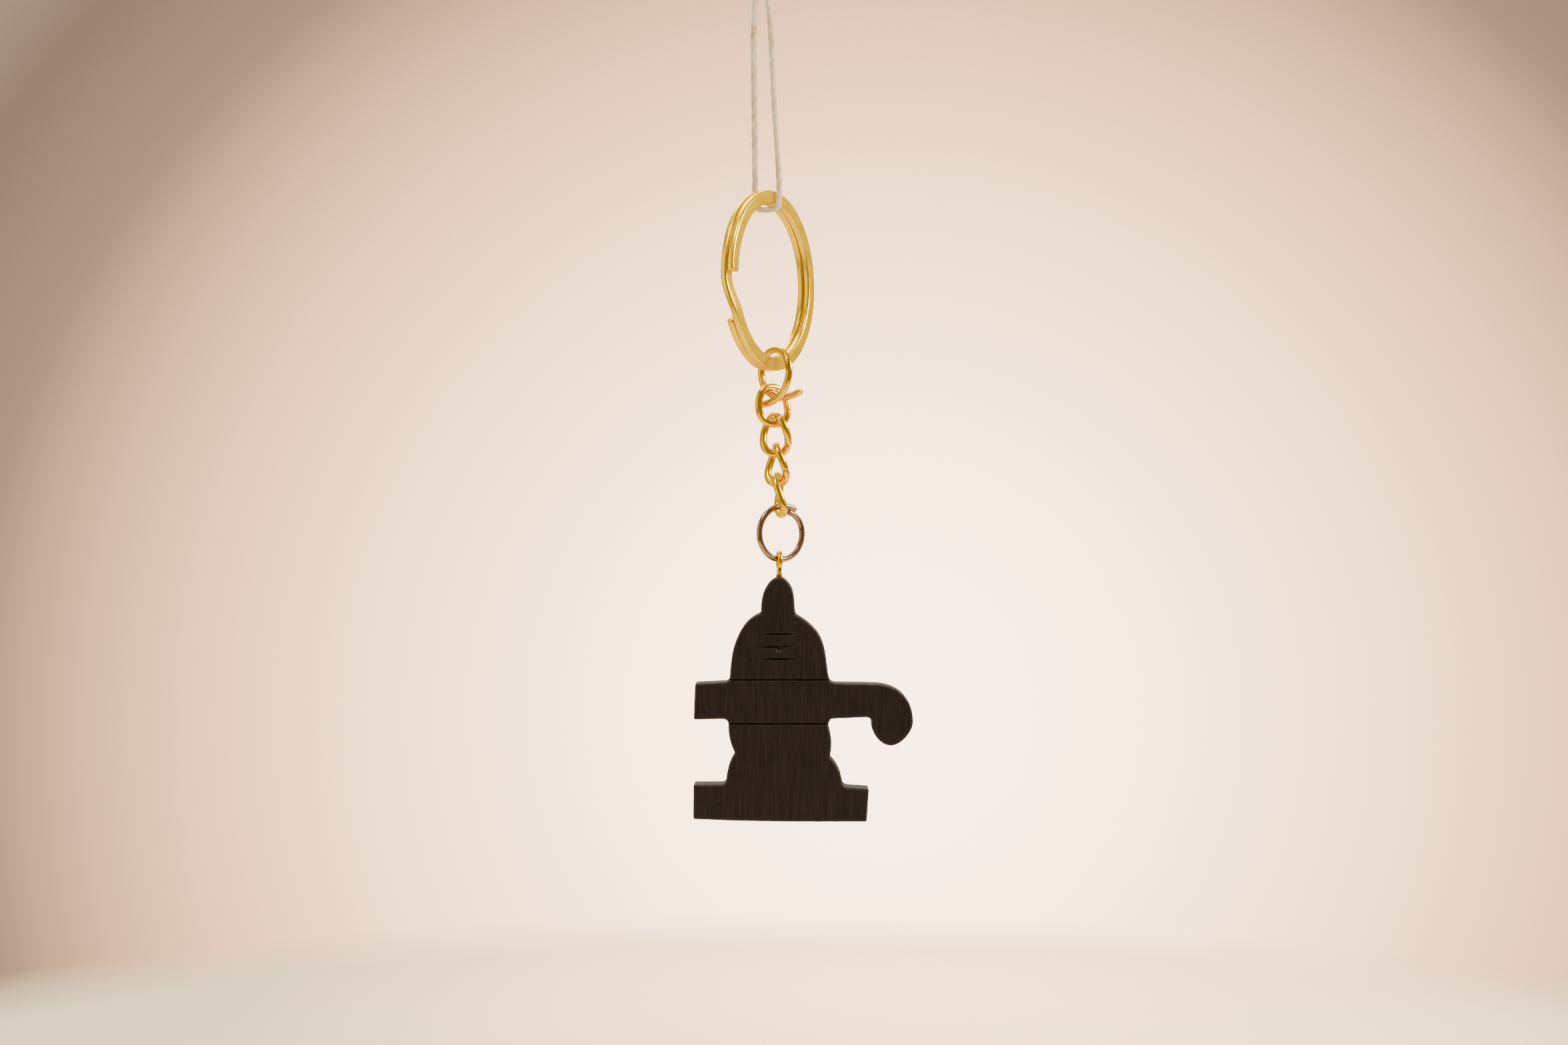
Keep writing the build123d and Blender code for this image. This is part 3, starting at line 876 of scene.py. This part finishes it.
    # height and width share of each ring of the collar, whose top edge is rounded
    collar = (
        (collar_foot - 0.3, 1.0),
        (collar_foot + 0.1, 1.0),
        (collar_top - 0.08, 0.92),
        (collar_top, 0.74),
    )
    for up, wide in collar:
        for k in range(COLLAR_SIDES):
            a = 2 * math.pi * k / COLLAR_SIDES
            uneven = 1 + 0.05 * noise.noise(Vector((math.cos(a) * 2, math.sin(a) * 2, up)))
            reach = COLLAR_HALF * wide * uneven
            across = middle + reach * math.cos(a)
            deep = (front_y + back_y) / 2 + reach * math.sin(a)
            verts.append((across * MM, deep * MM, up * MM))
            wear.append(0.3)
    last_ring = plate_size + (len(collar) - 1) * COLLAR_SIDES
    for a in range(plate_size, last_ring, COLLAR_SIDES):
        b = a + COLLAR_SIDES
        for k in range(COLLAR_SIDES):
            k2 = (k + 1) % COLLAR_SIDES
            faces.append((a + k, a + k2, b + k2, b + k))
    faces.append([plate_size + k for k in range(COLLAR_SIDES)][::-1])
    faces.append([last_ring + k for k in range(COLLAR_SIDES)])
    plate = make_object("pendant_plate", verts, faces, material)
    # the collar's points are given the share of that reddish brown colour
    collar_tint = plate.data.attributes.new("collar_tint", "FLOAT", "POINT")
    collar_tint.data.foreach_set("value", [0.0] * plate_size + [1.0] * (len(verts) - plate_size))
    layer = plate.data.attributes.new("wear", "FLOAT", "POINT")
    layer.data.foreach_set("value", wear)
    return plate


plate = make_plate(wood_material())
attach(plate, "pendant")
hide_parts("pendant")


# ---- thread ----
def cotton_material():
    """Raw cotton: fibres that lie along each ply, paler and browner stretches."""
    material, shader, node, link = new_material("cotton_yarn")
    place = node("ShaderNodeTexCoord")
    fibre_at = node("ShaderNodeMapping", {"Vector": place.outputs["UV"], "Scale": (0.9, 9.0, 1.0)})
    fibres = node(
        "ShaderNodeTexNoise",
        {"Vector": fibre_at.outputs[0], "Scale": 3.0, "Detail": 6.0, "Roughness": 0.65},
    )
    patches = node("ShaderNodeTexNoise", {"Vector": place.outputs["Object"], "Scale": 260.0, "Detail": 2.0})
    mixed = node(
        "ShaderNodeMath",
        {0: fibres.outputs["Fac"], 1: 0.55, 2: patches.outputs["Fac"]},
        operation="MULTIPLY_ADD",
    )
    colour = ramp(
        node, mixed.outputs[0],
        [(0.55, (0.52, 0.37, 0.22)), (0.78, (0.78, 0.62, 0.43)), (1.0, (0.92, 0.82, 0.68))],
    )
    link(colour, shader.inputs["Base Color"])
    shader.inputs["Roughness"].default_value = 0.9
    shader.inputs["Sheen Weight"].default_value = 0.35
    shader.inputs["Sheen Roughness"].default_value = 0.4
    shader.inputs["Subsurface Weight"].default_value = 0.12
    shader.inputs["Subsurface Scale"].default_value = 0.3 * MM
    shader.inputs["Subsurface Radius"].default_value = (1.0, 0.7, 0.5)
    bump = node("ShaderNodeBump", {"Height": fibres.outputs["Fac"], "Strength": 0.6, "Distance": 0.05 * MM})
    link(bump.outputs[0], shader.inputs["Normal"])
    return material


PLIES = 3
# the radius of a ply and its distance from the yarn's middle, as shares of the yarn's diameter
PLY_RADIUS, PLY_OFF_CENTRE = 0.285, 0.245


def yarn(name, line, diameter, material, pitch=6.4 * MM, seed=0.0):
    """Plies twisted round a line, each uneven as spun cotton is."""
    tangent, side, other = frames_along(line)
    far = np.concatenate([[0], np.cumsum(np.linalg.norm(np.diff(line, axis=0), axis=1))])
    verts, faces, uv = [], [], []
    sides = 10
    for ply in range(PLIES):
        first = len(verts)
        for i, centre in enumerate(line):
            turn = 2 * math.pi * (far[i] / pitch + ply / PLIES)
            turn += 0.35 * noise.noise(Vector((far[i] / MM * 0.16, seed, 1.0)))
            thick = 1 + 0.16 * noise.noise(Vector((far[i] / MM * 0.45, ply * 5.1 + seed, 2.0)))
            thick += 0.08 * noise.noise(Vector((far[i] / MM * 1.7, ply * 3.3 + seed, 8.0)))
            radius = diameter * PLY_RADIUS * thick
            out = side[i] * math.cos(turn) + other[i] * math.sin(turn)
            round_way = np.cross(tangent[i], out)
            hub = centre + out * diameter * PLY_OFF_CENTRE
            for k in range(sides):
                a = 2 * math.pi * k / sides
                verts.append(hub + (out * math.cos(a) * 0.88 + round_way * math.sin(a) * 1.08) * radius)
                uv.append((far[i] / MM, k / sides))
        rows = len(line)
        for i in range(rows - 1):
            for k in range(sides):
                k2 = (k + 1) % sides
                a, b = first + i * sides, first + (i + 1) * sides
                faces.append((a + k, a + k2, b + k2, b + k))
        faces.append([first + k for k in range(sides)][::-1])
        faces.append([first + (rows - 1) * sides + k for k in range(sides)])
    return make_object(name, verts, faces, material, uv)


def fuzz(name, line, diameter, material, count, reach):
    """Loose fibre ends that stand off the yarn."""
    tangent, side, other = frames_along(line)
    verts, faces = [], []
    thin = 0.011 * MM
    for _ in range(count):
        i = rng.randrange(3, len(line) - 3)
        turn = rng.uniform(0, 2 * math.pi)
        out = side[i] * math.cos(turn) + other[i] * math.sin(turn)
        along = tangent[i] * rng.uniform(-0.9, 0.9) + np.cross(tangent[i], out) * rng.uniform(-0.8, 0.8)
        long = reach * rng.uniform(0.35, 1.0)
        bend = unit(np.array([rng.uniform(-1, 1) for _ in range(3)])) * long * 0.35
        first = len(verts)
        for row in range(5):
            t = row / 4
            centre = line[i] + out * diameter * 0.42 + (out * 0.55 + along) * long * t + bend * t * t
            width = thin * (1 - 0.6 * t)
            for k in range(3):
                a = 2 * math.pi * k / 3
                verts.append(centre + (side[i] * math.cos(a) + other[i] * math.sin(a)) * width)
        for row in range(4):
            for k in range(3):
                k2 = (k + 1) % 3
                a, b = first + row * 3, first + row * 3 + 3
                faces.append((a + k, a + k2, b + k2, b + k))
        faces.append((first + 2, first + 1, first))
        faces.append((first + 12, first + 13, first + 14))
    return make_object(name, verts, faces, material)


YARN_STEP = 0.14 * MM
cotton = cotton_material()
thread_line = resample(nurbs_line("thread_guide", thread_route), 0.16 * MM)
thread = yarn("hanging_yarn", thread_line, THREAD, cotton)
knot_low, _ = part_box("thread_knot")
knot_centre = np.array((-1.25, -0.60, knot_low.z / MM + 1.55))
wrap_points = [(-0.5, 0.0, -1.3), (-0.55, 0.2, -0.9)]
for step in range(16):
    a = math.radians(180 - 45 * step)
    rise = -0.75 + 1.5 * step / 15
    wrap_points.append((0.92 * math.cos(a), 0.92 * math.sin(a), rise))
wrap_points += [(0.35, 0.3, 0.95), (0.3, 0.1, 1.3)]
wrap_line = smooth_line([(knot_centre + np.array(p)) * MM for p in wrap_points], YARN_STEP)
knot = yarn("knot_wraps", wrap_line, THREAD * 0.92, cotton, pitch=5.5 * MM, seed=4.0)
core_points = [(0.45, 0, -1.3), (0.3, -0.1, -0.5), (-0.1, 0.1, 0.5), (-0.3, 0.0, 1.2)]
core_line = smooth_line([(knot_centre + np.array(p)) * MM for p in core_points], YARN_STEP)
core = yarn("knot_core", core_line, THREAD * 0.92, cotton, pitch=5.5 * MM, seed=6.0)
tails = []
for name, lean, seed in (("knot_tail_left", -12, 7.0), ("knot_tail_right", 14, 9.0)):
    a = math.radians(lean)
    out = np.array((math.sin(a), 0, math.cos(a)))
    start = knot_centre + np.array((lean * 0.03, 0, 0)) + out * 0.9
    bend = np.array((0.12, -0.15, 0)) * (1 if lean > 0 else -1)
    tail_points = [(start + out * t + bend * t * t / 6) * MM for t in (0, 1.2, 2.5, 3.8, 4.8)]
    line = smooth_line(tail_points, YARN_STEP)
    tails.append(yarn(name, line, THREAD * 0.95, cotton, pitch=5.0 * MM, seed=seed))
thread_fuzz = fuzz("yarn_fuzz", thread_line, THREAD, cotton, 320, 0.75 * MM)
for piece in (knot, core, thread_fuzz, *tails):
    piece.parent = thread
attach(thread, "split_ring")
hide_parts("hanging_thread")
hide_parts("thread_knot")


# ---- studio ----
def make_floor():
    """Pale round floor whose far edge melts into the background."""
    material, shader, node, link = new_material("floor_pale")
    place = node("ShaderNodeTexCoord").outputs["Object"]
    patches = node("ShaderNodeTexNoise", {"Vector": place, "Scale": 9.0, "Detail": 3.0})
    cream = ramp(node, patches.outputs["Fac"], [(0.3, (0.80, 0.69, 0.55)), (0.7, (0.86, 0.76, 0.62))])
    link(cream, shader.inputs["Base Color"])
    shader.inputs["Roughness"].default_value = 0.75
    # a glow behind the object, which only the camera sees
    off = node("ShaderNodeVectorMath", {0: place, 1: (0.035, 0.17, 0.0)}, operation="DISTANCE")
    glow = ramp(
        node, off.outputs["Value"],
        [(0.02, (3.3, 1.75, 0.75)), (0.16, (0.35, 0.16, 0.03)), (0.3, (0.1, 0.05, 0.01))],
    )
    link(glow, shader.inputs["Emission Color"])
    link(node("ShaderNodeLightPath").outputs["Is Camera Ray"], shader.inputs["Emission Strength"])
    far = node("ShaderNodeVectorMath", {0: place}, operation="LENGTH").outputs["Value"]
    link(ramp(node, far, [(0.215, (1, 1, 1)), (0.262, (0, 0, 0))]), shader.inputs["Alpha"])
    rings, sides = 24, 96
    floor_radius = 0.265
    verts, faces = [(0, 0, 0)], []
    for ring in range(1, rings + 1):
        for k in range(sides):
            a = 2 * math.pi * k / sides
            reach = floor_radius * ring / rings
            verts.append((reach * math.cos(a), reach * math.sin(a), 0))
    for k in range(sides):
        faces.append((0, 1 + k, 1 + (k + 1) % sides))
    for ring in range(rings - 1):
        for k in range(sides):
            a, b = 1 + ring * sides, 1 + (ring + 1) * sides
            k2 = (k + 1) % sides
            faces.append((a + k, b + k, b + k2, a + k2))
    floor = make_object("floor", verts, faces, material)
    floor.location = (0, 0, pendant_low.z - 62 * MM)


def make_world():
    """Warm cream sweep: bright behind the object, dim on the camera's side."""
    world = bpy.data.worlds.new("studio")
    bpy.context.scene.world = world
    world.use_nodes = True
    tree = world.node_tree
    background = tree.nodes["Background"]
    node = node_maker(tree)
    way = node("ShaderNodeTexCoord").outputs["Generated"]
    parts = node("ShaderNodeSeparateXYZ", {0: way})
    # what is seen: cream in the middle, pinkish beige towards the top and sides
    middle = node("ShaderNodeVectorMath", {0: way, 1: (0.045, 1.0, -0.085)}, operation="DISTANCE")
    off = middle.outputs["Value"]
    seen = ramp(
        node, off,
        [
            (0.0, (7.9, 5.3, 3.9)),
            (0.10, (6.9, 4.5, 3.0)),
            (0.19, (4.7, 2.9, 1.75)),
            (0.27, (3.0, 1.75, 0.95)),
            (0.35, (1.5, 0.85, 0.48)),
            (0.40, (0.58, 0.36, 0.23)),
            (0.46, (0.36, 0.235, 0.16)),
            (0.9, (2.2, 1.6, 1.1)),
        ],
    )
    # what lights the object and is mirrored in it
    facing = node("ShaderNodeMapRange", {"Value": parts.outputs[1], "From Min": -1.0, "From Max": 1.0})
    lit = ramp(
        node, facing.outputs[0],
        [
            (0.0, (0.34, 0.26, 0.16)),
            (0.2, (0.26, 0.19, 0.11)),
            (0.42, (0.42, 0.34, 0.22)),
            (0.6, (0.76, 0.67, 0.48)),
            (1.0, (1.15, 1.0, 0.78)),
        ],
    )
    ray = node("ShaderNodeLightPath").outputs["Is Camera Ray"]
    mixed = node("ShaderNodeMix", {0: ray, 6: lit, 7: seen}, data_type="RGBA")
    tree.links.new(mixed.outputs[2], background.inputs["Color"])
    background.inputs["Strength"].default_value = 1.0


def soft_light(name, place, size, power, colour, shape=1.0):
    """Area light aimed at the middle of the chain."""
    data = bpy.data.lights.new(name, "AREA")
    data.shape = "RECTANGLE"
    data.size, data.size_y = size, size * shape
    data.energy = power
    data.color = colour
    light = bpy.data.objects.new(name, data)
    light.location = place
    aim = Vector((0, 0, (ring_high.z + pendant_low.z) / 2)) - Vector(place)
    light.rotation_euler = aim.to_track_quat("-Z", "Y").to_euler()
    bpy.context.scene.collection.objects.link(light)


make_floor()
make_world()
soft_light("key_right", (0.32, -0.04, 0.12), 0.10, 2.4, (1.0, 0.94, 0.84))
soft_light("top_back", (-0.08, 0.26, 0.30), 0.30, 1.6, (1.0, 0.95, 0.88))
soft_light("fill_left", (-0.38, -0.22, 0.02), 0.26, 0.55, (1.0, 0.88, 0.72), 1.6)
soft_light("front_high", (-0.12, -0.20, 0.34), 0.12, 1.6, (1.0, 0.93, 0.82))

for leftover in [o for o in bpy.data.objects if o.name in ("Cube", "Light", "Camera")]:
    bpy.data.objects.remove(leftover)
